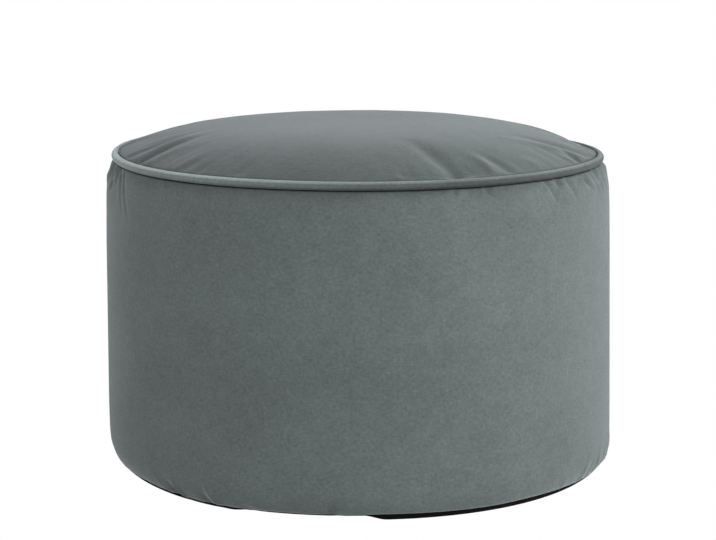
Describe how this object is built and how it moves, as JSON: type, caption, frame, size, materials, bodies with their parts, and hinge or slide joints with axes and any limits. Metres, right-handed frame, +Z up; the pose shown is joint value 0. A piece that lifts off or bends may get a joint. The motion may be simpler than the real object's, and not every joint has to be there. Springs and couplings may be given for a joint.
{
  "type": "bean bag footstool",
  "caption": "Round drum-shaped bean bag footstool in soft velvet, with a crowned top panel, a corded piping and a flat base to stand on.",
  "frame": {"origin": "middle of the flat base, on the surface that the footstool stands on", "axes": "+Z up through the middle of the top panel, -Y to the front, +X to the right seen from the front"},
  "size_m": [0.5053, 0.5044, 0.3461],
  "materials": {
    "velvet": "short-pile velvet in a greenish mid grey, lighter where it is seen at a glancing angle, with soft uneven nap",
    "base_cloth": "matt black non-woven cloth"
  },
  "bodies": {
    "root": {"side_band": "velvet", "top_panel": "velvet", "piping": "velvet", "base_panel": "base_cloth"}
  },
  "joints": []
}
